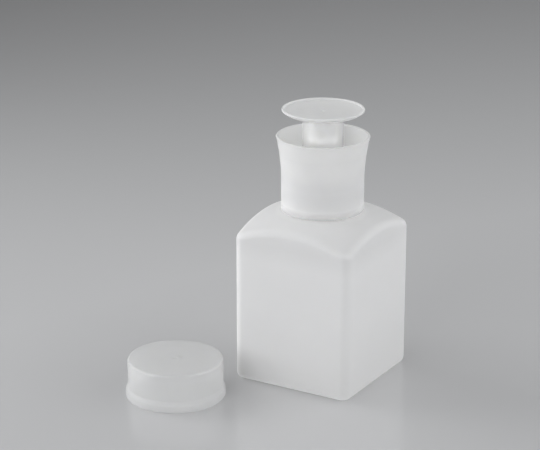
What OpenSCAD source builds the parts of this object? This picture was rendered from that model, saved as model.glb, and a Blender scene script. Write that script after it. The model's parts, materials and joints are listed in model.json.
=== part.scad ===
// Push-down solvent dispenser: square bottle, catch cup, piston pump with a dish, loose over-cap.
// Millimetres. The bottle stands on z = 0 with its upright axis on Z; the over-cap stands beside it.

/* [Bottle] */
// Width of the square body, face to face
body_w = 60; // [52:1:80]
// Height of the dome's crown above the base, on the axis
crown_h = 82; // [70:1:110]
// Radius of the domed shoulder
dome_r = 78; // [60:1:110]
// Rounding of the four upright edges
edge_r = 4.5; // [3.5:0.1:8]
// Rounding where the faces meet the dome
brow_r = 3; // [2.2:0.1:4.5]
// Rounding of the heel
heel_r = 4.4; // [3:0.1:6]
// Blown wall thickness
wall = 1.2; // [0.8:0.1:1.6]
// Rise of the base inside its standing ring
push_up = 1; // [0.5:0.1:2]
// Width of the flat standing ring
foot_w = 4.6; // [3:0.1:7]

/* [Neck] */
// Outer radius of the neck, threads left out
neck_r = 16.1; // [13.5:0.1:19.5]
// Neck wall thickness
neck_wall = 1.6; // [1.2:0.1:2]
// Height of the neck's lip above the crown
neck_h = 11.2; // [9:0.1:14]
// Radial room between neck and collar that the thread fills
thread_room = 1.75; // [1.3:0.05:2.2]
// Thickness of the sealing gasket on the lip
gasket_t = 1; // [0.8:0.1:2]

/* [Collar and catch cup] */
// Wall of the collar and its cup
collar_wall = 1.15; // [0.9:0.05:1.5]
// How much wider the cup's rim is than the collar
flare_w = 2.45; // [1.5:0.01:4]
// Height of the flared part of the cup
flare_h = 21.3; // [18:0.1:28]
// Depth of the catch cup from its rim to its floor
cup_depth = 18.2; // [15:0.1:24]
// Thickness of the cup's floor
web_t = 1.4; // [1:0.1:2]
// Gap between the dome and the collar's lower edge
skirt_gap = 0.5; // [0.4:0.1:2]

/* [Pump] */
// Downward travel of the dish
travel = 11; // [8:0.5:13]
// Outer diameter of the pump stem
stem_d = 13.46; // [11:0.02:16.5]
// Wall of the pump stem
stem_wall = 1.13; // [0.9:0.01:1.4]
// How much wider the cylinder's bore is than the stem, on radius
piston_step = 0.87; // [0.7:0.01:1.5]
// Cylinder wall
barrel_wall = 1.2; // [1:0.05:1.6]
// Length of the guide bush
bush_h = 9.4; // [7:0.1:12]
// Length of the spring with the dish pressed home
spring_short = 10.1; // [9.2:0.1:14]
// Spring wire diameter
wire_d = 0.9; // [0.7:0.05:1]
// Outer diameter of the dip tube
tube_d = 6; // [5:0.1:7]
// Wall of the dip tube and of the riser tube
tube_wall = 0.8; // [0.6:0.05:1]
// Diameter of the inlet valve ball
inlet_ball_d = 5; // [4.4:0.1:5.6]
// Diameter of the outlet valve ball
outlet_ball_d = 4; // [3.4:0.1:4.4]
// Lift of the inlet ball off its seat
inlet_lift = 1.2; // [0.8:0.1:1.6]
// Lift of the outlet ball off its seat
outlet_lift = 1; // [0.6:0.1:1.2]

/* [Dish] */
// Height of the dish's lip above the cup's rim, at rest
dish_rise = 12.6; // [12:0.1:17]
// Gap between the dish's edge and the cup's rim, on radius
dish_gap = 1.43; // [1:0.01:2.5]
// Plate thickness of the dish
dish_t = 1.2; // [1:0.05:1.6]
// Depth of the dish below its lip
dish_depth = 1.3; // [0.8:0.1:2]
// How far the dish's underside slopes down to its sleeve
hub_drop = 0.9; // [0.3:0.1:2]
// Diameter of the outlet hole in the middle of the dish
outlet_d = 1.2; // [1:0.1:2.5]
// Wall of the sleeve under the dish
sleeve_wall = 0.93; // [0.7:0.01:1.3]

/* [Over-cap] */
// Wall of the over-cap
cap_wall = 1.1; // [0.8:0.05:1.4]
// Height of the wide skirt that takes the cup's rim
cap_skirt_h = 3.4; // [2.2:0.1:6]
// Height over which the cap's outside swells out to its skirt
cap_swell_h = 2.6; // [2:0.1:6]
// Head room left over the dish with the cap on
cap_room = 0.6; // [0.4:0.1:3]
// Radial slack of the skirt on the cup's rim
cap_slack = 0.21; // [0.1:0.01:0.5]
// How far the cap's centre stands left of the bottle's left face
cap_left = 13.4; // [5:0.1:40]
// Clear space between the cap and the plane of the bottle's front face
cap_clear = 5.85; // [3:0.05:40]

/* [Hidden] */
$fn = 96;
skim = 0.02;        // keeps blend surfaces a hair off their faces, so that none lies tangent
fit = 0.03;         // radial room of pressed-in pieces
run = 0.05;         // radial room of running fits
loose = 0.35;       // radial room between pieces that pass each other
seat_gap = 0.1;     // a valve ball rests this far off its cone
over = 1;           // how far a cut runs past the face that it opens
join = 0.2;         // how far one shape of a moulding reaches into the next
end_room = 1;       // room left at each end of the dish's travel

// Bottle
half_w = body_w / 2;
dome_z = crown_h - dome_r;
neck_bore_r = neck_r - neck_wall;
lip_z = crown_h + neck_h;
floor_z = wall + push_up;
foot_r = half_w - heel_r - foot_w;
push_r = (foot_r * foot_r + push_up * push_up) / (2 * push_up);
neck_root_r = 1.2;
brow_slack = 0.03;
corner_slack = 0.12;
body_fn = 56;

// Stack from the lip up
flange_z = lip_z + gasket_t;
flange_t = 1.2;
web_z = flange_z + flange_t;
cup_floor_z = web_z + web_t;
rim_z = cup_floor_z + cup_depth;
dish_z = rim_z + dish_rise;
dish_under_z = dish_z - dish_depth - dish_t;

// Collar and cup, radii
skirt_r = neck_r + thread_room;
collar_r = skirt_r + collar_wall;
rim_r = collar_r + flare_w;
flare_z = rim_z - flare_h;
flare_r = (flare_w * flare_w + flare_h * flare_h) / (2 * flare_w);
collar_z = dome_z + sqrt(dome_r * dome_r - collar_r * collar_r) + skirt_gap;
bead_grip = 0.25;              // the snap bead reaches this far in under the pump's flange
bead_r = neck_r + bead_grip;
bead_h = 1.4;
flange_r = bead_r + bead_grip;

// Plunger, radii from the stem out
stem_r = stem_d / 2;
stem_bore_r = stem_r - stem_wall;
chimney_bore_r = stem_r + loose;
chimney_wall = 1;
chimney_r = chimney_bore_r + chimney_wall;
sleeve_bore_r = chimney_r + loose + run;
sleeve_r = sleeve_bore_r + sleeve_wall;
sleeve_z = cup_floor_z + travel + end_room;
chimney_z = dish_under_z - travel - end_room;
dish_r = rim_r - collar_wall - dish_gap;

// Cylinder, from its flange down
bore_r = stem_r + piston_step;
bush_step = 1.1;               // the bush seats on a step this wide at the top of the bore
bush_r = bore_r + bush_step;
bush_z = web_z - bush_h;
groove_w = 1.2;
groove_t = 0.75;
seal_top_z = bush_z - 0.4;
stem_foot_z = seal_top_z - 0.6;
seal_h = 6.3;
seal_z = seal_top_z - seal_h;
plate_t = 1.2;
spring_top_z = seal_z - plate_t;
spring_z = spring_top_z - travel - spring_short;
cage_t = 1;
barrel_floor_z = spring_z - cage_t;
vent_d = 1.4;
vent_z = seal_z + seal_h / 2;

// Return spring, a coil with a closed turn at each end
spring_r = bore_r - 1.4;
spring_turns = 8;
ring_sides = 8;
turn_steps = 16;
closed_pitch = wire_d * 1.03;
spring_rise = spring_top_z - spring_z - wire_d;
open_pitch = (spring_rise - 2 * closed_pitch) / (spring_turns - 2);

// Inlet valve
inlet_r = inlet_ball_d / 2;
cage_bore_r = inlet_r + 0.8;
cage_wall = 0.9;
cage_r = cage_bore_r + cage_wall;
cage_hole_r = 0.8;
cone_slope = 1.28;             // rise of a seat cone for each millimetre of radius
inlet_hole_r = inlet_r * 0.62;
inlet_cone_h = (cage_bore_r - inlet_hole_r) * cone_slope;
inlet_seat_t = 1.5;            // thickness of the seat below its cone
inlet_seat_z = barrel_floor_z - inlet_lift - inlet_ball_d - inlet_cone_h + 1.2;
inlet_cone_z = inlet_seat_z + inlet_seat_t;
socket_h = 9;
tube_r = tube_d / 2;
tube_top_z = inlet_seat_z - 0.2;
tube_foot_z = floor_z + 1;
tube_cut = 45;                 // slant of the tube's foot, in degrees

// Outlet valve and riser
outlet_r = outlet_ball_d / 2;
spigot_r = stem_bore_r - fit;
spigot_wall = 1.05;
spigot_bore_r = spigot_r - spigot_wall;
spigot_h = 7;
riser_bore_r = 1.5;
riser_wall = tube_wall + 0.2;
riser_r = riser_bore_r + riser_wall;
tail_wall = 1.5;
tail_r = riser_r + tail_wall;
tail_h = 3.3;                  // how far the stem's tail reaches below the seal
tail_z = seal_z - tail_h;
shoulder_t = 1.4;              // thickness of the step that narrows the stem to its tail
stop_h = 1;
outlet_hole_r = outlet_r * 0.65;
outlet_cone_h = (spigot_bore_r - 1.4 - outlet_hole_r) * cone_slope;

// A ball's centre above the small end of its seat cone
function ball_rise(r, hole_r) =
    let (a = atan(1 / cone_slope), ring_r = r * cos(a))
    (ring_r - hole_r) * cone_slope + r * sin(a) + seat_gap;
inlet_ball_z = inlet_cone_z + ball_rise(inlet_r, inlet_hole_r);
outlet_ball_z = dish_under_z - stop_h - outlet_lift - seat_gap - outlet_r;
outlet_cone_z = outlet_ball_z - ball_rise(outlet_r, outlet_hole_r);
plug_seat_t = 0.8;             // thickness of the plug's floor over the riser tube
riser_grip = 2.4;              // how far the riser tube goes up into the plug
plug_z = outlet_cone_z - plug_seat_t - riser_grip;
riser_top_z = plug_z + riser_grip;

// Over-cap, standing on its open end
cap_skirt_bore_r = rim_r + cap_slack;
cap_skirt_r = cap_skirt_bore_r + cap_wall;
cap_step = 0.75;               // the cup's rim stops on a step this wide inside the cap
cap_bore_r = rim_r - cap_step;
cap_r = cap_bore_r + cap_wall;
cap_swell_z = cap_skirt_h - 0.4;
cap_edge_r = 1;
cap_foot_r = 0.3;
gate_r = 1.1;                  // the gate's dimple in the middle of the cap
gate_t = 0.25;
cap_h = cap_skirt_h + dish_rise + cap_room + cap_wall;
cap_x = -half_w - cap_left;
cap_y = -half_w - cap_clear - cap_skirt_r;

PE = [0.93, 0.94, 0.95];
PP = [0.90, 0.92, 0.93];
NATURAL = [0.86, 0.88, 0.89];

// ---- shared shapes ----

// A ring of the given bore and outer radius, from z0 up to z1
module ring(bore, outer, z0, z1) {
    rotate_extrude() translate([bore, z0]) square([outer - bore, z1 - z0]);
}

// Wedge of a big circle about [0, 0], from straight up to the line that runs out through [x, y]
module crown_wedge(big_r, x, y) {
    intersection() {
        circle(big_r, $fn = 180);
        polygon([[0, 0], [0, 2 * big_r], [2 * big_r * x / y, 2 * big_r]]);
    }
}

// ---- bottle ----

// Square block with rounded upright edges, g inside the outer skin
module upright(g) {
    h = half_w - g;
    r = edge_r - g;
    translate([0, 0, g - 1]) linear_extrude(crown_h + 2) {
        translate([-h, r - h]) square([2 * h, 2 * (h - r)]);
        translate([r - h, -h]) square([2 * (h - r), 2 * h]);
        for (x = [r - h, h - r], y = [r - h, h - r]) translate([x, y]) circle(r);
    }
}

// Turned form: the dome on top, and the rounding of the eight corners
module turned(g) {
    h = half_w - g;
    r = edge_r - g;
    foot = heel_r - g;
    brow = brow_r - g;
    big = dome_r - g;
    out = (h - r) * sqrt(2) + r + corner_slack;
    low = g - skim;
    x = out - brow;
    y = sqrt((big - brow) * (big - brow) - x * x);
    rotate_extrude() {
        translate([0, low + foot]) square([out, dome_z + y - low - foot]);
        translate([0, low]) square([out - foot, foot + 1]);
        translate([out - foot, low + foot]) circle(foot);
        translate([0, dome_z]) crown_wedge(big, x, y);
        translate([x, dome_z + y]) circle(brow);
    }
}

// Roller about the X axis through the dome's centre: its rims round the brows over the +X and -X faces,
// and between them it rises in two cones that stand clear of the dome
module brow_roller(g) {
    h = half_w - g;
    brow = brow_r - g;
    big = dome_r - g + brow_slack;
    x = h - brow + skim;
    y = sqrt((big - brow) * (big - brow) - x * x);
    lean = atan2(x, y);
    translate([0, 0, dome_z]) rotate([0, 90, 0]) rotate_extrude() {
        translate([0, -h - 2]) square([y, 2 * h + 4]);
        for (side = [0, 1]) mirror([0, side]) {
            translate([y, x]) circle(brow);
            polygon([[0, 0], [big / cos(lean), 0], [big * cos(lean), big * sin(lean)], [y, x], [0, x]]);
        }
    }
}

// Trough along the X axis that rounds the heel along the two long edges
module heel_trough(g, drop) {
    h = half_w - g;
    r = heel_r - g;
    x = h - r + skim;
    translate([-h - 2, 0, g - drop]) rotate([90, 0, 90]) linear_extrude(2 * h + 4) {
        translate([-h - 2, r]) square([2 * h + 4, crown_h + 2]);
        translate([-x, 0]) square([2 * x, r + 1]);
        for (side = [-1, 1]) translate([side * x, r]) circle(r);
    }
}

// The body's closed form, g inside the outer skin
module body_form(g) {
    intersection() {
        turned(g);
        upright(g);
        brow_roller(g);
        rotate(90) brow_roller(g);
        heel_trough(g, 0);
        rotate(90) heel_trough(g, skim / 2);
    }
}

// Shallow dome pressed up into the base
module base_push(g) {
    translate([0, 0, push_up - push_r]) sphere(push_r + g, $fn = 120);
}

// Neck, with a small fillet at its root on the dome
module neck_form() {
    root_z = dome_z + sqrt(dome_r * dome_r - neck_r * neck_r);
    rotate_extrude() {
        translate([0, root_z - 2]) square([neck_r, lip_z - root_z + 2]);
        difference() {
            translate([0, root_z - 2]) square([neck_r + neck_root_r, neck_root_r + 2]);
            translate([neck_r + neck_root_r, root_z + neck_root_r]) circle(neck_root_r);
        }
    }
}

module bottle() color(PE) {
    $fn = body_fn;
    difference() {
        union() {
            difference() {
                body_form(0);
                base_push(0);
            }
            neck_form();
        }
        difference() {
            body_form(wall);
            base_push(wall);
        }
        translate([0, 0, dome_z]) cylinder(r = neck_bore_r, h = lip_z);
    }
}

// ---- closure ----

module neck_gasket() color([0.80, 0.82, 0.82]) ring(neck_bore_r, neck_r, lip_z, flange_z);

// Outside of the collar at its flare, moved in by g
module flare_outline(g, z0, z1) {
    difference() {
        translate([0, z0]) square([rim_r + 1, z1 - z0]);
        translate([collar_r + flare_r, flare_z]) circle(flare_r + g, $fn = 360);
    }
}

// Screw collar, catch cup and chimney in one moulding; a bead inside snaps under the pump's flange
module collar_cup() color(PP) {
    lip = collar_wall / 2;
    rotate_extrude() {
        // threaded skirt and cup wall
        difference() {
            union() {
                translate([0, collar_z]) square([collar_r, flare_z - collar_z]);
                flare_outline(0, flare_z, rim_z - lip);
            }
            translate([0, collar_z - over]) square([skirt_r, web_z - collar_z + over]);
            translate([0, cup_floor_z]) square([skirt_r, max(flare_z - cup_floor_z, 0) + over]);
            flare_outline(collar_wall, max(cup_floor_z, flare_z), rim_z);
            translate([0, web_z - over]) square([chimney_bore_r, web_t + 2 * over]);
        }
        translate([rim_r - lip, rim_z - lip]) circle(lip);
        // chimney that the stem slides in and the sleeve covers
        translate([chimney_bore_r, cup_floor_z - join])
            square([chimney_wall, chimney_z - cup_floor_z + join]);
        // snap bead
        translate([0, flange_z - bead_h - 0.1])
            polygon([[skirt_r + join, 0], [skirt_r + join, bead_h], [bead_r, bead_h - 0.2],
                [bead_r, bead_h - 0.5]]);
    }
}

// ---- pump ----

// Barrel hung from a flange, with the bush's seat above, the inlet seat and the tube's socket below
module pump_cylinder() color(NATURAL) difference() {
    rotate_extrude() difference() {
        union() {
            translate([0, flange_z]) square([flange_r, flange_t]);
            translate([0, bush_z - barrel_wall])
                square([bush_r + barrel_wall, flange_z - bush_z + barrel_wall + join]);
            translate([0, barrel_floor_z]) square([bore_r + barrel_wall, bush_z - barrel_floor_z]);
            polygon([[0, inlet_seat_z], [tube_r + barrel_wall, inlet_seat_z],
                [cage_r + barrel_wall, inlet_cone_z],
                [cage_r + barrel_wall, barrel_floor_z - 2], [bore_r + barrel_wall, barrel_floor_z],
                [bore_r + barrel_wall, barrel_floor_z + over], [0, barrel_floor_z + over]]);
            translate([0, inlet_seat_z - socket_h]) square([tube_r + barrel_wall, socket_h + join]);
        }
        translate([0, bush_z]) square([bush_r, bush_h + over]);
        translate([0, barrel_floor_z]) square([bore_r, bush_z - barrel_floor_z + over]);
        translate([0, inlet_cone_z + inlet_cone_h]) square([cage_r, barrel_floor_z]);
        polygon([[0, inlet_cone_z], [inlet_hole_r, inlet_cone_z],
            [cage_bore_r, inlet_cone_z + inlet_cone_h], [cage_bore_r, inlet_cone_z + inlet_cone_h + over],
            [0, inlet_cone_z + inlet_cone_h + over]]);
        translate([0, inlet_seat_z - over]) square([inlet_hole_r, inlet_seat_t + 2 * over]);
        translate([0, inlet_seat_z - socket_h - over]) square([tube_r + fit, socket_h + over]);
    }
    // vent holes that the piston covers at rest
    translate([0, 0, vent_z]) rotate([0, 90, 0]) cylinder(d = vent_d, h = 4 * bore_r, center = true);
}

// Bush that guides the stem and stops the piston; three grooves let air past
module guide_bush() color(PP) difference() {
    ring(stem_r + run, bush_r - fit, bush_z, web_z);
    for (a = [0, 120, 240]) rotate(a) translate([stem_r + run, -groove_w / 2, bush_z - over])
        translate([-over, 0, 0]) cube([groove_t + over, groove_w, bush_h + 2 * over]);
}

// Pressed-in cage over the inlet ball: its flange carries the spring, four holes let the liquid through
module inlet_cage() color(PP) {
    top = barrel_floor_z;
    roof = inlet_ball_z + inlet_r + inlet_lift + 0.1;
    difference() {
        union() {
            ring(cage_bore_r, cage_r - fit, inlet_cone_z + inlet_cone_h, top + 0.1);
            translate([0, 0, roof]) cylinder(r = cage_r - fit, h = spring_z - roof);
            translate([0, 0, top]) cylinder(r = bore_r - fit, h = cage_t);
        }
        for (a = [45:90:315]) rotate(a) translate([cage_bore_r - 0.9, 0, inlet_cone_z])
            cylinder(r = cage_hole_r, h = spring_z - inlet_cone_z + over);
        translate([0, 0, inlet_cone_z]) cylinder(r = cage_bore_r, h = roof - inlet_cone_z);
    }
}

module inlet_ball() color([0.75, 0.76, 0.78]) translate([0, 0, inlet_ball_z]) sphere(inlet_r);

// Dip tube, its foot cut on the slant so that it can't seal against the floor
module dip_tube() color(NATURAL) difference() {
    ring(tube_r - tube_wall, tube_r, tube_foot_z, tube_top_z);
    translate([-tube_r, 0, tube_foot_z]) rotate([0, -tube_cut, 0])
        translate([-tube_d, -tube_d, -4 * tube_d]) cube([4 * tube_d, 2 * tube_d, 4 * tube_d]);
}

// ---- return spring ----

// Height of the wire's centre after t turns
function coil_z(t) =
    t < 1 ? t * closed_pitch
    : t > spring_turns - 1 ? spring_rise - (spring_turns - t) * closed_pitch
    : closed_pitch + (t - 1) * open_pitch;

module return_spring() color([0.72, 0.73, 0.75]) {
    steps = spring_turns * turn_steps;
    wire = wire_d / 2 - 0.01;
    points = [for (i = [0:steps], s = [0:ring_sides - 1])
        let (turn = i / turn_steps, a = 360 * turn, b = 360 * (s + 0.5) / ring_sides,
            r = spring_r + wire * cos(b))
        [r * cos(a), r * sin(a), spring_z + wire_d / 2 + coil_z(turn) + wire * sin(b)]];
    sides = [for (i = [0:steps - 1], s = [0:ring_sides - 1])
        let (n = (s + 1) % ring_sides, p = i * ring_sides, q = p + ring_sides)
        [p + s, q + s, q + n, p + n]];
    first = [for (s = [0:ring_sides - 1]) s];
    last = [for (s = [ring_sides - 1:-1:0]) steps * ring_sides + s];
    polyhedron(points, concat(sides, [first], [last]));
}

// Two-lipped piston seal on the stem's tail
module piston_seal() color([0.84, 0.86, 0.86]) rotate_extrude() {
    lip_r = bore_r - run;
    waist_r = bore_r - 0.7;
    tail = tail_r + fit;
    polygon([[tail, seal_z], [lip_r - 0.9, seal_z], [lip_r - 0.9, seal_z + 0.9], [lip_r - 0.25, seal_z],
        [lip_r, seal_z + 0.3], [lip_r, seal_z + 0.9], [waist_r, seal_z + 2.2], [waist_r, seal_top_z - 2],
        [lip_r, seal_top_z - 0.9], [lip_r, seal_top_z], [lip_r - 0.5, seal_top_z], [lip_r - 0.7, stem_foot_z],
        [tail, stem_foot_z]]);
}

// Snap-on retainer under the seal: holds it up, and centres the spring
module seal_retainer() color(PP) {
    ring(tail_r + fit, spring_r + wire_d / 2, spring_top_z, seal_z);
    ring(tail_r + fit, tail_r + 1, tail_z - 0.4, spring_top_z + join);
}

// Hollow stem, its tail narrowed for the seal
module pump_stem() color(PE) {
    ring(stem_bore_r, stem_r, stem_foot_z, dish_under_z);
    ring(riser_r + fit, stem_bore_r + join, stem_foot_z, stem_foot_z + shoulder_t);
    ring(riser_r + fit, tail_r, tail_z, stem_foot_z + join);
}

module riser_tube() color(NATURAL) ring(riser_bore_r, riser_r, tail_z, riser_top_z);

// Plug in the top of the stem: takes the riser tube below and the outlet ball above
module outlet_seat() color(PP) rotate_extrude() difference() {
    translate([0, plug_z]) square([spigot_bore_r - fit, outlet_cone_z + outlet_cone_h - plug_z]);
    translate([0, plug_z - over]) square([riser_r + fit, riser_grip + over]);
    translate([0, plug_z]) square([outlet_hole_r, outlet_cone_z - plug_z]);
    translate([0, outlet_cone_z])
        polygon([[0, 0], [outlet_hole_r, 0],
            [outlet_hole_r + (outlet_cone_h + over) / cone_slope, outlet_cone_h + over],
            [0, outlet_cone_h + over]]);
}

module outlet_ball() color([0.75, 0.76, 0.78]) translate([0, 0, outlet_ball_z]) sphere(outlet_r);

// ---- dish ----

// Saucer with a raised round lip, a sleeve over the chimney, and a spigot pressed into the stem
module dish() color(PP) {
    lip = dish_t / 2;
    floor_r = dish_r - 4;
    rise_r = dish_r - dish_t;
    rotate_extrude() {
        difference() {
            union() {
                polygon([[0, dish_under_z], [floor_r, dish_under_z], [rise_r, dish_z - dish_t - 0.25],
                    [dish_r - 0.2, dish_z - dish_t + 0.15], [dish_r, dish_z - lip], [rise_r, dish_z - lip],
                    [floor_r, dish_under_z + dish_t + 0.15], [0, dish_under_z + dish_t]]);
                translate([dish_r - lip, dish_z - lip]) circle(lip);
            }
            translate([0, dish_under_z - over]) square([outlet_d / 2, dish_t + dish_depth + over]);
        }
        polygon([[sleeve_bore_r, dish_under_z - hub_drop], [sleeve_r, dish_under_z - hub_drop],
            [floor_r, dish_under_z], [floor_r, dish_under_z + join], [sleeve_bore_r, dish_under_z + join]]);
        translate([sleeve_bore_r, sleeve_z]) square([sleeve_wall, dish_under_z - sleeve_z + join]);
        translate([spigot_bore_r, dish_under_z - spigot_h]) square([spigot_wall, spigot_h + join]);
    }
    // ribs that stop the outlet ball below the hole
    for (a = [0:90:270]) rotate(a) translate([outlet_d / 2 + 0.3, -0.4, dish_under_z - stop_h])
        cube([spigot_bore_r - outlet_d / 2, 0.8, stop_h + join]);
}

// ---- over-cap ----

// Loose dust cap: the wide skirt passes over the cup's rim, which stops at the step inside
module over_cap() color([0.92, 0.93, 0.95]) translate([cap_x, cap_y, 0]) rotate_extrude() {
    swell = cap_skirt_r - cap_r;
    bend_r = (swell * swell + cap_swell_h * cap_swell_h) / (4 * swell);
    swell_top_z = cap_swell_z + cap_swell_h;
    difference() {
        union() {
            // foot, skirt and the lower half of the swell
            square([cap_skirt_r - cap_foot_r, cap_foot_r + over]);
            translate([cap_skirt_r - cap_foot_r, cap_foot_r]) circle(cap_foot_r);
            translate([0, cap_foot_r]) square([cap_skirt_r, cap_swell_z - cap_foot_r]);
            intersection() {
                translate([cap_skirt_r - bend_r, cap_swell_z]) circle(bend_r, $fn = 360);
                translate([0, cap_swell_z - skim]) square([cap_skirt_r, cap_swell_h / 2 + skim]);
            }
            // upper half of the swell, and the wall
            difference() {
                translate([0, cap_swell_z]) square([cap_skirt_r, cap_swell_h]);
                translate([cap_r + bend_r, swell_top_z]) circle(bend_r, $fn = 360);
                translate([cap_r + swell / 2, cap_swell_z - over]) square([swell, cap_swell_h + 2 * over]);
            }
            translate([0, swell_top_z - skim]) square([cap_r, cap_h - cap_edge_r - swell_top_z + skim]);
            translate([0, cap_h - 2 * cap_edge_r]) square([cap_r - cap_edge_r, 2 * cap_edge_r]);
            translate([cap_r - cap_edge_r, cap_h - cap_edge_r]) circle(cap_edge_r);
        }
        translate([0, -over]) square([cap_skirt_bore_r, cap_skirt_h + over]);
        translate([0, cap_skirt_h - over]) square([cap_bore_r, cap_h - cap_wall - cap_skirt_h + over]);
        translate([0, cap_h - gate_t]) square([gate_r, gate_t + over]);
    }
}

bottle();
neck_gasket();
collar_cup();
pump_cylinder();
guide_bush();
inlet_cage();
inlet_ball();
dip_tube();
return_spring();
piston_seal();
seal_retainer();
pump_stem();
riser_tube();
outlet_seat();
outlet_ball();
dish();
over_cap();
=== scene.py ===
import json
import math

import bmesh
import bpy
from mathutils import Matrix, Vector


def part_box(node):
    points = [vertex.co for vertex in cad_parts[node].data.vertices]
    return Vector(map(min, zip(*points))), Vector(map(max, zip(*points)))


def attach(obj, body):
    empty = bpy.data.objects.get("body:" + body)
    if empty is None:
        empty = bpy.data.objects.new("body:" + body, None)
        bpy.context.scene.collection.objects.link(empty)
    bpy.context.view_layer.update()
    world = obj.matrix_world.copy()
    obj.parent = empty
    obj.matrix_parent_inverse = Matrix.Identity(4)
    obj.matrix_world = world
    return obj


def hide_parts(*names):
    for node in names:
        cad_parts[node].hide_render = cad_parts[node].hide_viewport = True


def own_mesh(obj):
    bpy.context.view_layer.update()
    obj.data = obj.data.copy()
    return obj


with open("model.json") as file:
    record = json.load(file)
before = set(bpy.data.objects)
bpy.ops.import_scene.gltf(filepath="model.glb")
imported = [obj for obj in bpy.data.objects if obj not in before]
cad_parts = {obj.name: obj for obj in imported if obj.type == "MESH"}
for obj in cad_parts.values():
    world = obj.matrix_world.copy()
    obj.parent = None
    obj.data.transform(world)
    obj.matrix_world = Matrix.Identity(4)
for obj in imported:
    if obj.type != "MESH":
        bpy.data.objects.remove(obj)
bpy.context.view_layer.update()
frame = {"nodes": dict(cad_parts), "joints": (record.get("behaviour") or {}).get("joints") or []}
mm = 0.001

# ---- Bottle ----
# Blow-moulded from natural polyethylene: a square body under a domed shoulder, with a thin milky
# wall. The mould closes on a diagonal, so its parting line runs up two opposite edges and pinches off
# under the base. The panels sink a little as they cool.


class Value:
    """A shader socket in a sum: each operator on it adds the Math node that does it."""

    def __init__(self, finish, socket):
        self.finish = finish
        self.socket = socket

    def math(self, operation, a, b):
        return self.finish.node("ShaderNodeMath", {"operation": operation}, {0: a, 1: b})

    def __add__(self, other):
        return self.math("ADD", self, other)

    def __radd__(self, other):
        return self.math("ADD", other, self)

    def __sub__(self, other):
        return self.math("SUBTRACT", self, other)

    def __rsub__(self, other):
        return self.math("SUBTRACT", other, self)

    def __mul__(self, other):
        return self.math("MULTIPLY", self, other)

    def __rmul__(self, other):
        return self.math("MULTIPLY", other, self)


class Finish:
    """A material that is built node by node around one Principled shader."""

    def __init__(self, name, **constants):
        self.material = bpy.data.materials.new(name)
        self.material.use_nodes = True
        self.tree = self.material.node_tree
        self.shader = self.tree.nodes["Principled BSDF"]
        for socket, value in constants.items():
            self.shader.inputs[socket.replace("_", " ")].default_value = value
        self.place = self.node("ShaderNodeTexCoord", out="Object")

    def node(self, kind, settings=None, inputs=None, out=0):
        made = self.tree.nodes.new(kind)
        for name, value in (settings or {}).items():
            setattr(made, name, value)
        for name, value in (inputs or {}).items():
            if isinstance(value, Value):
                self.tree.links.new(value.socket, made.inputs[name])
            else:
                made.inputs[name].default_value = value
        return Value(self, made.outputs[out])

    def noise(self, scale, detail=2.0, stretch=(1, 1, 1)):
        spot = self.node("ShaderNodeMapping", inputs={"Vector": self.place, "Scale": stretch})
        return self.node(
            "ShaderNodeTexNoise", inputs={"Vector": spot, "Scale": scale, "Detail": detail}
        )

    def blend(self, factor, first, second):
        return self.node(
            "ShaderNodeMix", {"data_type": "RGBA"}, {"Factor": factor, "A": first, "B": second},
            out="Result",
        )

    def height(self):
        return self.node("ShaderNodeSeparateXYZ", inputs={"Vector": self.place}, out="Z")

    def climb(self, value, first, last, low, high, curve="LINEAR"):
        """Goes from low to high as value goes from first to last."""
        return self.node(
            "ShaderNodeMapRange", {"interpolation_type": curve},
            {"Value": value, "From Min": first, "From Max": last, "To Min": low, "To Max": high},
        )

    def band(self, value, foot, full, fading, gone, strength):
        """Rises to strength between two heights and falls away between the next two."""
        rise = self.climb(value, foot, full, 0.0, strength)
        return rise - self.climb(value, fading, gone, 0.0, strength)

    def feed(self, socket, value):
        self.tree.links.new(value.socket, self.shader.inputs[socket])

    def bump(self, height, distance):
        dents = {"Height": height, "Distance": distance, "Strength": 1.0}
        self.feed("Normal", self.node("ShaderNodeBump", inputs=dents))

    def paint_glow(self, amount):
        """Painted glow: emission standing in for light through a thin wall from behind."""
        self.feed("Emission Color", amount)
        self.shader.inputs["Emission Strength"].default_value = 1.0

    def cover(self, piece):
        piece.data.materials.clear()
        piece.data.materials.append(self.material)


def natural_plastic(
    name, light, dark, roughness, depth, milk=1.0, grain=2600.0, cloud=55.0, ripple=0.05
):
    """Unpigmented moulded plastic: light scatters inside it, its wall is never quite even, and its
    skin has a fine satin grain. depth is how far light travels in it, and milk is how much it hides
    what is behind it. grain and cloud are the scales of its grain and its clouds, per metre, and
    ripple is the height of its skin's waves in millimetres."""
    finish = Finish(
        name,
        IOR=1.51,
        Subsurface_Weight=1.0,
        Subsurface_Radius=(1.0, 1.0, 0.96),
        Subsurface_Scale=depth,
        Alpha=milk,
    )
    finish.white = finish.blend(finish.noise(cloud, detail=3.0), (*dark, 1), (*light, 1))
    finish.feed("Base Color", finish.white)
    satin = finish.noise(cloud * 4, detail=4.0)
    finish.feed("Roughness", roughness - 0.04 + 0.08 * satin)
    skin = finish.noise(grain, detail=1.0)
    wave = finish.noise(cloud * 0.6, detail=1.0)
    finish.bump(0.12 * skin + wave, ripple * mm)
    return finish


def finished_piece(name, bm, body, finish, crease=math.radians(32)):
    """Closes a bmesh into a piece that rides on a body and wears a finish."""
    bmesh.ops.remove_doubles(bm, verts=bm.verts[:], dist=0.0005 * mm)
    bmesh.ops.recalc_face_normals(bm, faces=bm.faces[:])
    mesh = bpy.data.meshes.new(name)
    bm.to_mesh(mesh)
    bm.free()
    for face in mesh.polygons:
        face.use_smooth = True
    mesh.set_sharp_from_angle(angle=crease)
    piece = bpy.data.objects.new(name, mesh)
    bpy.context.scene.collection.objects.link(piece)
    finish.cover(piece)
    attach(piece, body)
    return piece


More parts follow.
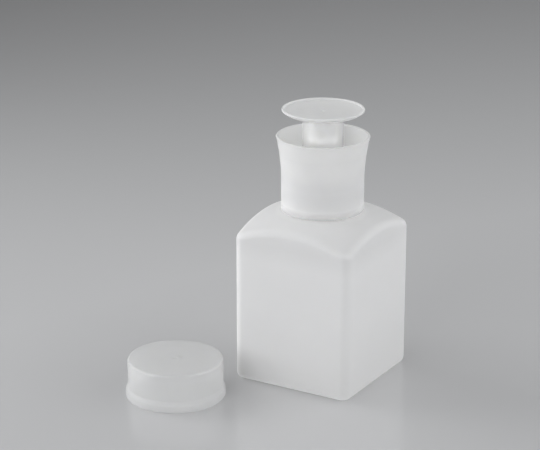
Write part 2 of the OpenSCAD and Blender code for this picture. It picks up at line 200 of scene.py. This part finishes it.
def slerp(a, b, t):
    """The direction a share t of the way from a to b."""
    turn = a.angle(b)
    return (a * math.sin((1 - t) * turn) + b * math.sin(t * turn)) / math.sin(turn)


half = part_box("bottle")[1].x
lip_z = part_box("bottle")[1].z
neck_h = 11.2 * mm
dome_r = 78 * mm
dome_z = lip_z - neck_h - dome_r
edge_r = 4.5 * mm
brow_r = 4 * mm
heel_r = 3.4 * mm
foot_r = 21 * mm
push_up = 1 * mm
bottle_wall = 1.2 * mm
neck_r = 16.1 * mm
neck_root = 1.2 * mm
panel_sink = 0.22 * mm
seam_h = 0.07 * mm
pinch = 4
lip_edge = 0.3 * mm
root_z = dome_z + math.sqrt(dome_r ** 2 - (neck_r + neck_root) ** 2) + neck_root
up = Vector((0, 0, 1))
quarter = 0.5 * math.pi

bottle_plastic = natural_plastic(
    "natural_polyethylene", (0.885, 0.882, 0.872), (0.855, 0.852, 0.842), 0.6, 3.6 * mm
)
bottle_plastic.shader.inputs["Specular IOR Level"].default_value = 0.3
up_the_bottle = bottle_plastic.height()
# Painted shade: the base colour greys from the shoulder down to the foot, darker towards the bottom
# where less light falls.
painted_foot_shade = (0.77, 0.768, 0.76, 1)
painted_shade_fade = bottle_plastic.climb(up_the_bottle, -8 * mm, 42 * mm, 0.0, 1.0, "SMOOTHSTEP")
bottle_plastic.feed("Base Color", bottle_plastic.blend(painted_shade_fade, painted_foot_shade, bottle_plastic.white))
# Painted light: emission glows at the foot, across the panels and in a ring round the neck's root stand
# in for light through the wall and lift the shade at the base and under the collar's foot.
painted_foot_glow = bottle_plastic.climb(up_the_bottle, 0, 3 * mm, 0.2, 0.0)
painted_face_glow = bottle_plastic.band(up_the_bottle, 10 * mm, 60 * mm, 60 * mm, 68 * mm, 0.036)
painted_root_glow = bottle_plastic.band(
    up_the_bottle, root_z - 2.4 * mm, root_z - 1.5 * mm, root_z - 0.8 * mm, root_z, 0.08
)
bottle_plastic.paint_glow(painted_foot_glow + painted_face_glow + painted_root_glow)

bm = bmesh.new()
column = bm.verts.layers.int.new("column")
bmesh.ops.create_grid(bm, x_segments=1, y_segments=1, size=half)
bmesh.ops.bevel(
    bm, geom=bm.verts[:], offset=edge_r, offset_type="OFFSET", affect="VERTICES", segments=10,
    profile=0.5, material=-1,
)
bmesh.ops.delete(bm, geom=bm.faces[:], context="FACES_ONLY")
flats = [e for e in bm.edges if e.calc_length() > 2 * edge_r]
bmesh.ops.subdivide_edges(bm, edges=flats, cuts=21)
plan = sorted(bm.verts, key=lambda v: math.atan2(v.co.y, v.co.x) % math.tau)
reach = half - edge_r
columns = []
for i, v in enumerate(plan):
    v[column] = i
    v.co.z = heel_r
    core = Vector((max(-reach, min(reach, v.co.x)), max(-reach, min(reach, v.co.y)), heel_r))
    out = (v.co - core).normalized()
    along = core.y if abs(out.x) > abs(out.y) else core.x
    straight = abs(out.x) < 1e-4 or abs(out.y) < 1e-4
    sink = math.cos(quarter * along / reach) ** 2 if straight else 0.0
    on_seam = abs(out.x - out.y) < 0.05
    turn = math.tau * i / len(plan)
    round_way = Vector((math.cos(turn), math.sin(turn), 0))
    columns.append((v.co.copy(), out, sink, seam_h if on_seam else 0.0, round_way))


def carry(edges, place, *step):
    """Extrudes an open rim and puts each new vertex where place says for its column."""
    made = bmesh.ops.extrude_edge_only(bm, edges=edges)["geom"]
    rim = {g for g in made if isinstance(g, bmesh.types.BMVert)}
    for v in rim:
        v.co = place(*columns[v[column]], *step)
    return [g for g in made if isinstance(g, bmesh.types.BMEdge) and set(g.verts) <= rim]


# A column is a point q on the body's wall, its outward direction n, how far its panel sinks, how far
# the seam stands proud, and the direction c in which it lies once the form has turned round.


def heel(q, n, sink, seam, c, turn):
    return q - n * (heel_r - (heel_r + seam) * math.cos(turn)) - up * heel_r * math.sin(turn)


def foot(q, n, sink, seam, c, t):
    return ((q - n * heel_r) * (1 - t) + c * foot_r * t) * Vector((1, 1, 0))


def base(q, n, sink, seam, c, t):
    return c * foot_r * t + up * (push_up * (1 - t ** 4) - seam * pinch * (1 - t))


def brow_core(q, n):
    """Centre of the brow's rounding in a column."""
    inner = q - n * brow_r
    flat = Vector((inner.x, inner.y, 0))
    return flat + up * (dome_z + math.sqrt((dome_r - brow_r) ** 2 - flat.length_squared))


def panel(q, n, sink, seam, c, t):
    top = brow_core(q, n).z
    dip = sink * panel_sink * math.sin(math.pi * t) ** 0.8
    return Vector((q.x, q.y, heel_r + t * (top - heel_r))) + n * (seam - dip)


def brow(q, n, sink, seam, c, t):
    core = brow_core(q, n)
    crown = (core - up * dome_z).normalized()
    return core + slerp(n, crown, t) * (brow_r + seam)


def dome(q, n, sink, seam, c, t):
    crown = (brow_core(q, n) - up * dome_z).normalized()
    root = c * (neck_r + neck_root)
    root = (root + up * math.sqrt(dome_r ** 2 - root.length_squared)).normalized()
    return up * dome_z + slerp(crown, root, t) * (dome_r + seam)


def root_fillet(q, n, sink, seam, c, turn):
    reach = neck_r + neck_root * (1 - math.sin(turn)) + seam
    return c * reach + up * (root_z - neck_root * math.cos(turn))


def neck_wall(q, n, sink, seam, c, z):
    return c * (neck_r + seam) + up * z


def neck_lip(q, n, sink, seam, c, r):
    return c * r + up * lip_z


waist = bm.edges[:]

# down: heel, standing ring, push-up with its pinch line
rim = waist
for k in range(1, 9):
    rim = carry(rim, heel, quarter * k / 8)
for t in (0.5, 1.0):
    rim = carry(rim, foot, t)
for t in (0.985, 0.96, 0.9, 0.75, 0.55, 0.35, 0.15, 0.03):
    rim = carry(rim, base, t)
base_middle = bmesh.ops.contextual_create(bm, geom=rim)["faces"]
bmesh.ops.poke(bm, faces=base_middle)

# up: panels, brow, dome, neck
rim = waist
panel_rows = 26
for k in range(1, panel_rows + 1):
    rim = carry(rim, panel, k / panel_rows)
for k in range(1, 8):
    rim = carry(rim, brow, k / 7)
for k in range(1, 17):
    rim = carry(rim, dome, k / 16)
for k in range(1, 6):
    rim = carry(rim, root_fillet, quarter * k / 5)
for z in (root_z + 4 * mm, lip_z - lip_edge):
    rim = carry(rim, neck_wall, z)
for r in (neck_r - 0.25 * mm, neck_r - bottle_wall):
    rim = carry(rim, neck_lip, r)

bottle = finished_piece("bottle_skin", bm, "bottle", bottle_plastic, crease=math.radians(60))
shell = bottle.modifiers.new("Solidify", "SOLIDIFY")
shell.thickness = bottle_wall
shell.offset = -1
shell.use_even_offset = True
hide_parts("bottle")


# ---- Screw threads ----
# A single flat-topped ridge moulded round the neck, and its partner inside the collar. Both run out
# to nothing at their ends, and half a pitch lies between them when the collar is home.

thread_pitch = 4 * mm
thread_turns = 1.9
thread_root_w = 1.9 * mm
thread_crest_w = 0.8 * mm
thread_fade = 0.07
thread_sunk = 0.2 * mm
neck_thread_h = 0.95 * mm
collar_thread_h = 0.8 * mm
thread_z = root_z + 1.6 * mm


def thread(name, root_r, crest_r, start_z, body, finish):
    """A ridge wound from start_z up, whose ends sink back into the wall."""
    bm = bmesh.new()
    root_half = thread_root_w / 2
    crest_half = thread_crest_w / 2
    corners = [(root_r, -root_half), (crest_r, -crest_half), (crest_r, crest_half), (root_r, root_half)]
    ridge = bm.faces.new([bm.verts.new((r, 0, start_z + z)) for r, z in corners])
    steps = 110
    rise = thread_pitch * thread_turns
    bmesh.ops.spin(
        bm, geom=[ridge], cent=(0, 0, 0), axis=(0, 0, 1), angle=math.tau * thread_turns,
        steps=steps, dvec=(0, 0, rise / steps), use_merge=False,
    )
    for v in bm.verts:
        turned = math.atan2(v.co.y, v.co.x) % math.tau
        laps = round((v.co.z - start_z) / thread_pitch - turned / math.tau)
        share = (laps + turned / math.tau) * thread_pitch / rise
        fade = min(1.0, max(0.02, min(share, 1 - share) / thread_fade))
        middle = start_z + share * rise
        reach = math.hypot(v.co.x, v.co.y)
        new_reach = root_r + (reach - root_r) * fade
        v.co.x *= new_reach / reach
        v.co.y *= new_reach / reach
        v.co.z = middle + (v.co.z - middle) * max(fade, 0.3)
    piece = finished_piece(name, bm, body, finish)


thread(
    "neck_thread", neck_r - thread_sunk, neck_r + neck_thread_h, thread_z, "bottle", bottle_plastic,
)


# ---- Collar and catch cup ----
# One moulding in natural polypropylene: a screw skirt below, a floor with a chimney round the pump
# stem, and the cup above, which flares out to a full round lip.


def arc(x, z, r, first, last, count):
    """Points on an arc about (x, z), from one angle to another, in degrees."""
    angles = [math.radians(first + (last - first) * i / count) for i in range(count + 1)]
    return [(x + r * math.cos(a), z + r * math.sin(a)) for a in angles]


round_steps = 144


def turned_bmesh(outline, closed=True):
    """Spins an outline of (radius, height) points round the Z axis."""
    bm = bmesh.new()
    verts = [bm.verts.new((r, 0, z)) for r, z in outline]
    pairs = list(zip(verts, verts[1:]))
    if closed:
        pairs.append((verts[-1], verts[0]))
    edges = [bm.edges.new(p) for p in pairs]
    bmesh.ops.spin(
        bm, geom=verts + edges, cent=(0, 0, 0), axis=(0, 0, 1), angle=math.tau, steps=round_steps,
        use_merge=True,
    )
    bmesh.ops.remove_doubles(bm, verts=bm.verts[:], dist=0.001 * mm)
    bmesh.ops.dissolve_degenerate(bm, dist=0.0005 * mm, edges=bm.edges[:])
    return bm


collar_low, collar_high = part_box("collar_cup")
rim_r = collar_high.x
rim_z = collar_high.z
collar_z = collar_low.z
collar_wall = 1.15 * mm
collar_r = 19.0 * mm
skirt_r = collar_r - collar_wall
flare_h = 21.3 * mm
flare_z = rim_z - flare_h
flare_w = rim_r - collar_r
flare_r = (flare_w ** 2 + flare_h ** 2) / (2 * flare_w)
cup_floor_z = rim_z - 18.2 * mm
web_z = cup_floor_z - 1.4 * mm
chimney_bore_r = 7.08 * mm
chimney_r = 8.08 * mm
chimney_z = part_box("dish")[1].z - 14.5 * mm
bead_r = neck_r + 0.25 * mm
bead_z = web_z - 2.7 * mm
lip = collar_wall / 2
soft = 0.3 * mm
corner = 1.4 * mm

collar_plastic = natural_plastic(
    "natural_polypropylene_collar", (0.95, 0.948, 0.934), (0.92, 0.918, 0.905), 0.52, 2 * mm,
    cloud=70.0, ripple=0.03,
)
up_the_collar = collar_plastic.height()
skirt_milk = collar_plastic.climb(up_the_collar, collar_z, collar_z + 3.5 * mm, 0.3, 0.88)
cup_thinness = collar_plastic.climb(up_the_collar, web_z - 3 * mm, cup_floor_z + 10 * mm, 0.0, 0.22)
collar_plastic.feed("Alpha", skirt_milk - cup_thinness)
# Painted light: emission glows at the skirt's foot and up the cup stand in for light through the wall
# and lift the shade under the foot and inside the cup.
painted_skirt_glow = collar_plastic.climb(up_the_collar, collar_z, collar_z + 2 * mm, 0.09, 0.0)
painted_cup_glow = collar_plastic.band(
    up_the_collar, cup_floor_z, cup_floor_z + 5 * mm, cup_floor_z + 8 * mm, rim_z, 0.018
)
collar_plastic.paint_glow(painted_skirt_glow + painted_cup_glow)

flare_centre = collar_r + flare_r
outer_top = math.degrees(math.asin((flare_h - lip) / flare_r))
inner_r = flare_r + collar_wall
inner_top = math.degrees(math.asin((flare_h - lip) / inner_r))
inner_foot = math.degrees(math.asin((cup_floor_z + corner - flare_z) / inner_r))
wall_foot = flare_centre - inner_r * math.cos(math.radians(inner_foot))
cup_outline = (
    arc(skirt_r + soft, collar_z + soft, soft, 180, 270, 3)
    + arc(collar_r - soft, collar_z + soft, soft, 270, 360, 3)
    + arc(flare_centre, flare_z, flare_r, 180, 180 - outer_top, 26)
    + arc(rim_r - lip, rim_z - lip, lip, 8, 172, 8)
    + arc(flare_centre, flare_z, inner_r, 180 - inner_top, 180 - inner_foot, 22)
    + arc(wall_foot - corner, cup_floor_z + corner, corner, 0, -90, 6)
    + arc(chimney_r + corner / 2, cup_floor_z + corner / 2, corner / 2, 270, 180, 5)
    + arc(chimney_r - soft, chimney_z - soft, soft, 0, 90, 3)
    + arc(chimney_bore_r + soft, chimney_z - soft, soft, 90, 180, 3)
    + [(chimney_bore_r, web_z)]
    + arc(skirt_r - soft, web_z - soft, soft, 90, 0, 3)
    + [(skirt_r, bead_z + 1.4 * mm), (bead_r, bead_z + 1.2 * mm), (bead_r, bead_z + 0.9 * mm)]
    + [(skirt_r, bead_z)]
)
collar = finished_piece("collar_moulding", turned_bmesh(cup_outline), "collar", collar_plastic)
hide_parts("collar_cup")
thread(
    "collar_thread", skirt_r + thread_sunk, skirt_r - collar_thread_h, thread_z + thread_pitch / 2,
    "collar", collar_plastic,
)


# ---- Dish and sleeve ----
# The saucer that is pressed with a wipe, in natural polypropylene. Its rim turns up into a round lip,
# and liquid comes out of the small hole in the middle. The sleeve under it covers the chimney, and the
# spigot inside grips the stem.

dish_low, dish_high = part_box("dish")
dish_r = dish_high.x
dish_z = dish_high.z
dish_t = 1.2 * mm
dish_depth = 1.3 * mm
dish_under_z = dish_z - dish_depth - dish_t
sleeve_r = 9.41 * mm
sleeve_bore_r = 8.48 * mm
sleeve_z = dish_low.z
spigot_r = 5.57 * mm
spigot_bore_r = 4.52 * mm
spigot_z = dish_under_z - 7 * mm
hole_r = 0.6 * mm
bend_w = 4 * mm
bend_r = dish_r - bend_w
hub_drop = 0.9 * mm

dish_plastic = natural_plastic(
    "natural_polypropylene_dish", (0.87, 0.872, 0.87), (0.85, 0.852, 0.85), 0.55, 1.5 * mm,
    cloud=80.0, ripple=0.02,
)
up_the_dish = dish_plastic.height()
dish_milk = dish_plastic.climb(up_the_dish, dish_under_z - 1.5 * mm, dish_under_z, 0.22, 0.66)
dish_plastic.feed("Alpha", dish_milk)
# Painted light: emission glows down the sleeve and on the plate's underside stand in for light through
# the plate and lift the shade under the dish.
top_fade = (dish_under_z + 0.75 * mm, dish_under_z + 1.15 * mm)
painted_sleeve_glow = dish_plastic.band(up_the_dish, dish_under_z - 6 * mm, dish_under_z, *top_fade, 0.08)
painted_under_glow = dish_plastic.band(up_the_dish, dish_under_z, dish_under_z + 0.3 * mm, *top_fade, 0.09)
dish_plastic.paint_glow(painted_sleeve_glow + painted_under_glow)
edge = dish_t / 2
bend_rise = 0.15 * mm
rim_rise = 0.75 * mm
plate_z = dish_under_z + dish_t
dish_outline = (
    [(hole_r, plate_z - soft), (hole_r + soft, plate_z)]
    + [(bend_r * k, plate_z + bend_rise * k * k) for k in (0.4, 0.7, 0.9)]
    + [(bend_r + bend_w * k, plate_z + bend_rise + rim_rise * k * k) for k in (0, 0.25, 0.5, 0.7)]
    + arc(dish_r - edge, dish_z - edge, edge, 130, -60, 10)
    + [(bend_r + 2.2 * mm, dish_under_z + 0.4 * mm), (bend_r, dish_under_z)]
    + arc(sleeve_r + corner, dish_under_z - hub_drop - corner, corner, 76, 180, 6)
    + [(sleeve_r, sleeve_z + soft), (sleeve_r - soft, sleeve_z), (sleeve_bore_r + soft, sleeve_z)]
    + [(sleeve_bore_r, sleeve_z + soft), (sleeve_bore_r, dish_under_z)]
    + [(spigot_r, dish_under_z), (spigot_r, spigot_z + soft), (spigot_r - soft, spigot_z)]
    + [(spigot_bore_r, spigot_z), (spigot_bore_r, dish_under_z), (hole_r, dish_under_z)]
)
bm = turned_bmesh(dish_outline)
# four ribs under the plate stop the outlet ball below the hole
rib_size = (3.7 * mm, 0.8 * mm, 1.2 * mm)
rib_place = (2.75 * mm, 0, dish_under_z - 0.4 * mm)
for k in range(4):
    rib = bmesh.ops.create_cube(bm, size=1)["verts"]
    bmesh.ops.scale(bm, verts=rib, vec=rib_size)
    bmesh.ops.translate(bm, verts=rib, vec=rib_place)
    bmesh.ops.rotate(bm, verts=rib, cent=(0, 0, 0), matrix=Matrix.Rotation(quarter * k, 3, "Z"))
dish = finished_piece("dish_moulding", bm, "plunger", dish_plastic)
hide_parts("dish")


# ---- Over-cap ----
# A thin dust cap in clear natural polypropylene, loose on the table with its mouth down. Its wide
# skirt passes over the cup's lip and a step inside stops it. The gate scar is in the middle of the top.

cap_low, cap_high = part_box("over_cap")
cap_middle = (cap_low + cap_high) / 2
cap_skirt_r = (cap_high.x - cap_low.x) / 2
cap_wall = 1.1 * mm
cap_h = cap_high.z
cap_skirt_h = 3.4 * mm
cap_skirt_bore_r = cap_skirt_r - cap_wall
cap_bore_r = 20.7 * mm
cap_r = cap_bore_r + cap_wall
swell_z = 3 * mm
swell_h = 2.6 * mm
cap_edge = 1 * mm
cap_foot = 0.3 * mm

cap_plastic = natural_plastic(
    "natural_polypropylene_cap", (0.87, 0.872, 0.872), (0.84, 0.842, 0.842), 0.4, 3 * mm, milk=0.45,
    cloud=60.0, ripple=0.03,
)
up_the_cap = cap_plastic.height()
# Painted light: an emission glow round the top of the side stands in for light through the thin wall.
cap_plastic.paint_glow(cap_plastic.climb(up_the_cap, cap_h - 3.5 * mm, cap_h - 1 * mm, 0.034, 0.0))
swell = cap_skirt_r - cap_r
gate_scar = ((0, 0), (0.5, 0), (1.1, 0.2), (1.8, 0.28), (2.6, 0.08), (4, 0))
cap_outline = (
    [(r * mm, cap_h - dip * mm) for r, dip in gate_scar]
    + arc(cap_r - cap_edge, cap_h - cap_edge, cap_edge, 90, 0, 7)
    + [
        (cap_r + swell * (0.5 - 0.5 * math.cos(math.pi * k / 10)), swell_z + swell_h * (1 - k / 10))
        for k in range(11)
    ]
    + arc(cap_skirt_r - cap_foot, cap_foot, cap_foot, 0, -90, 5)
    + arc(cap_skirt_bore_r + soft, soft, soft, 270, 180, 3)
    + [(cap_skirt_bore_r, cap_skirt_h - soft), (cap_skirt_bore_r - soft, cap_skirt_h)]
    + [(cap_bore_r, cap_skirt_h + soft)]
    + arc(cap_bore_r - soft, cap_h - cap_wall - soft, soft, 0, 90, 3)
    + [(0, cap_h - cap_wall)]
)
bm = turned_bmesh(cap_outline, closed=False)
bmesh.ops.translate(bm, verts=bm.verts[:], vec=(cap_middle.x, cap_middle.y, 0))
cap = finished_piece("cap_moulding", bm, "over_cap", cap_plastic)
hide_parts("over_cap")


# ---- Return spring ----
# Drawn stainless wire, wound with a closed turn at each end. It stands on the inlet cage, built at
# its length at rest.

spring_low, spring_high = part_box("return_spring")
wire_r = 0.44 * mm
coil_r = spring_high.x - wire_r
spring_h = spring_high.z - spring_low.z
spring_turns = 8
steel = Finish("spring_wire", Metallic=1.0, IOR=2.5)
drawn = steel.noise(900.0, detail=2.0, stretch=(1, 1, 6))
steel.feed("Base Color", steel.blend(drawn, (0.52, 0.53, 0.55, 1), (0.66, 0.67, 0.69, 1)))
steel.feed("Roughness", 0.2 + 0.14 * drawn)

bm = bmesh.new()
section = bmesh.ops.create_circle(bm, segments=12, radius=wire_r)["verts"]
bmesh.ops.rotate(bm, verts=section, cent=(0, 0, 0), matrix=Matrix.Rotation(quarter, 3, "X"))
bmesh.ops.translate(bm, verts=section, vec=(coil_r, 0, spring_low.z + wire_r))
closed_rise = 2.05 * wire_r
open_rise = (spring_h - 2 * wire_r - 2 * closed_rise) / (spring_turns - 2)
end = [*section, *bm.edges[:]]
first_end = bm.edges[:]
for turns, rise in ((1, closed_rise), (spring_turns - 2, open_rise), (1, closed_rise)):
    steps = 36 * turns
    end = bmesh.ops.spin(
        bm, geom=end, cent=(0, 0, 0), axis=(0, 0, 1), angle=math.tau * turns, steps=steps,
        dvec=(0, 0, rise * turns / steps), use_merge=False,
    )["geom_last"]
last_end = [g for g in end if isinstance(g, bmesh.types.BMEdge)]
bmesh.ops.contextual_create(bm, geom=first_end)
bmesh.ops.contextual_create(bm, geom=last_end)
spring = finished_piece("spring_coil", bm, "pump", steel)
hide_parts("return_spring")
press = next(j for j in frame["joints"] if j["name"] == "plunger_press")["range_m"][1]
(spring_h - press) / spring_h
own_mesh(spring)


# ---- Pump stem, cylinder and small mouldings ----
# Plain injection mouldings, a foam gasket and two ground steel balls. The frame gives them at their
# true shape, so each only gets its finish.

stem_plastic = natural_plastic(
    "stem_polypropylene", (0.96, 0.96, 0.95), (0.94, 0.94, 0.93), 0.4, 0.8 * mm, cloud=120.0,
    ripple=0.01,
)
up_the_stem = stem_plastic.height()
# Painted light: an emission glow, strongest low on the stem, stands in for light through the dish and
# cup and lifts the shade inside the cup.
stem_plastic.paint_glow(stem_plastic.climb(up_the_stem, rim_z - 4 * mm, rim_z + 1 * mm, 0.3, 0.04))
pump_plastic = natural_plastic(
    "pump_polypropylene", (0.84, 0.845, 0.85), (0.8, 0.805, 0.81), 0.3, 1.2 * mm, cloud=150.0,
    ripple=0.01,
)
seal_plastic = natural_plastic(
    "seal_polyethylene", (0.8, 0.81, 0.81), (0.76, 0.77, 0.77), 0.5, 1.5 * mm, cloud=200.0,
    ripple=0.01,
)
tube_plastic = natural_plastic(
    "tube_polyethylene", (0.84, 0.845, 0.85), (0.8, 0.805, 0.81), 0.28, 1.5 * mm, cloud=90.0,
    ripple=0.02,
)
gasket_foam = natural_plastic(
    "gasket_foam", (0.82, 0.82, 0.81), (0.76, 0.76, 0.75), 0.8, 0.8 * mm, grain=1800.0,
    cloud=300.0, ripple=0.12,
)
ball_steel = Finish("ball_steel", Metallic=1.0, IOR=2.5)
ground = ball_steel.noise(1500.0, detail=3.0)
ball_steel.feed("Base Color", ball_steel.blend(ground, (0.6, 0.61, 0.63, 1), (0.72, 0.73, 0.75, 1)))
ball_steel.feed("Roughness", 0.1 + 0.1 * ground)

for plastic, nodes in (
    (stem_plastic, ("pump_stem",)),
    (pump_plastic, ("pump_cylinder", "guide_bush", "inlet_cage", "seal_retainer", "outlet_seat")),
    (seal_plastic, ("piston_seal",)),
    (tube_plastic, ("dip_tube", "riser_tube")),
    (gasket_foam, ("neck_gasket",)),
    (ball_steel, ("inlet_ball", "outlet_ball")),
):
    for node in nodes:
        plastic.cover(frame["nodes"][node])


# ---- Table ----
# A wide sheet of satin grey laminate under the bottle and the cap, with a painted pool of light: its
# colour is palest to the right of the bottle and darkens with the distance from there, a painted
# falloff of the light.

table = Finish("table_sheet", IOR=1.5)
# Painted light: the base colour goes from the pool's pale grey to near black with distance from its
# centre.
light_pool_spot = (0.62, -0.23, 0)
light_pool_reach = 0.8
falloff_reach = 1.69
light_pool_grey = (0.603, 0.604, 0.612, 1)
falloff_grey = (0.066, 0.0665, 0.068, 1)
table_r = 30
from_light_pool = table.node(
    "ShaderNodeVectorMath", {"operation": "DISTANCE"}, {0: table.place, 1: light_pool_spot}, out="Value"
)
painted_falloff = table.climb(from_light_pool, light_pool_reach, falloff_reach, 0.0, 1.0)
table.feed("Base Color", table.blend(painted_falloff, light_pool_grey, falloff_grey))
table.feed("Roughness", 0.17 + 0.05 * table.noise(40.0))

bm = bmesh.new()
bmesh.ops.create_circle(bm, cap_ends=True, segments=96, radius=table_r)
table_mesh = bpy.data.meshes.new("table")
bm.to_mesh(table_mesh)
bm.free()
table_top = bpy.data.objects.new("table", table_mesh)
bpy.context.scene.collection.objects.link(table_top)
table.cover(table_top)


# ---- Light ----
# A pale tent, brightest at the height of the table and dimmer overhead, behind the bottle and toward
# the camera. Inside it stand a small soft box at the left and large ones at the right and in front,
# all kept out of reflections.

aim = Vector((0, 0, 0.07))


def softbox(name, place, size, power):
    light = bpy.data.lights.new(name, "AREA")
    light.shape = "RECTANGLE"
    light.size, light.size_y = size
    light.energy = power
    lamp = bpy.data.objects.new(name, light)
    lamp.location = place
    lamp.visible_glossy = False
    lamp.rotation_euler = (aim - Vector(place)).to_track_quat("-Z", "Y").to_euler()
    bpy.context.scene.collection.objects.link(lamp)


softbox("left_softbox", (-0.56, -0.12, 0.3), (0.42, 0.42), 1.2)
softbox("right_softbox", (0.92, 0.25, 0.6), (1.5, 1.1), 3.0)
softbox("front_softbox", (-0.05, -1.2, 0.4), (0.8, 0.6), 3.5)

tent = bpy.data.worlds.new("tent")
bpy.context.scene.world = tent
tent.use_nodes = True
sky = tent.node_tree
canvas = sky.nodes["Background"]
canvas.inputs["Color"].default_value = (0.98, 0.99, 1.0, 1)
direction = sky.nodes.new("ShaderNodeTexCoord").outputs["Generated"]


def fade(value, first, last, low, high):
    """A strength that goes from low to high as value goes from first to last."""
    ramp = sky.nodes.new("ShaderNodeMapRange")
    numbers = {"From Min": first, "From Max": last, "To Min": low, "To Max": high}
    for socket, number in numbers.items():
        ramp.inputs[socket].default_value = number
    sky.links.new(value, ramp.inputs["Value"])
    return ramp.outputs["Result"]


def toward(way):
    """How nearly a direction is the given one: 1 straight at it."""
    along = sky.nodes.new("ShaderNodeVectorMath")
    along.operation = "DOT_PRODUCT"
    along.inputs[1].default_value = way
    sky.links.new(direction, along.inputs[0])
    return along.outputs["Value"]


height = sky.nodes.new("ShaderNodeSeparateXYZ")
sky.links.new(direction, height.inputs[0])
strength = fade(height.outputs["Z"], 0.1, 0.9, 1.71, 0.29)
behind = fade(toward((-0.49, 0.83, 0.26)), 0.6, 0.92, 1.0, 0.25)
camera_side = fade(toward((0.54, -0.825, 0.16)), 0.4, 0.93, 1.0, 0.4)
for dimming in (behind, camera_side):
    both = sky.nodes.new("ShaderNodeMath")
    both.operation = "MULTIPLY"
    sky.links.new(strength, both.inputs[0])
    sky.links.new(dimming, both.inputs[1])
    strength = both.outputs[0]
sky.links.new(strength, canvas.inputs["Strength"])


# ---- Camera ----
# A long lens a little under a metre away. It looks down at the bottle's front right edge, with the
# cap to the left.

camera_data = bpy.data.cameras.new("camera")
camera_data.lens = 133.4
camera_data.sensor_width = 36
camera_data.clip_start = 0.05
camera_data.clip_end = 20
camera = bpy.data.objects.new("camera", camera_data)
camera.location = (0.42287, -0.76288, 0.36923)
camera.rotation_euler = (math.radians(71.167), 0, math.radians(30.581))
bpy.context.scene.collection.objects.link(camera)
bpy.context.scene.camera = camera
bpy.context.scene.view_settings.view_transform = "Standard"
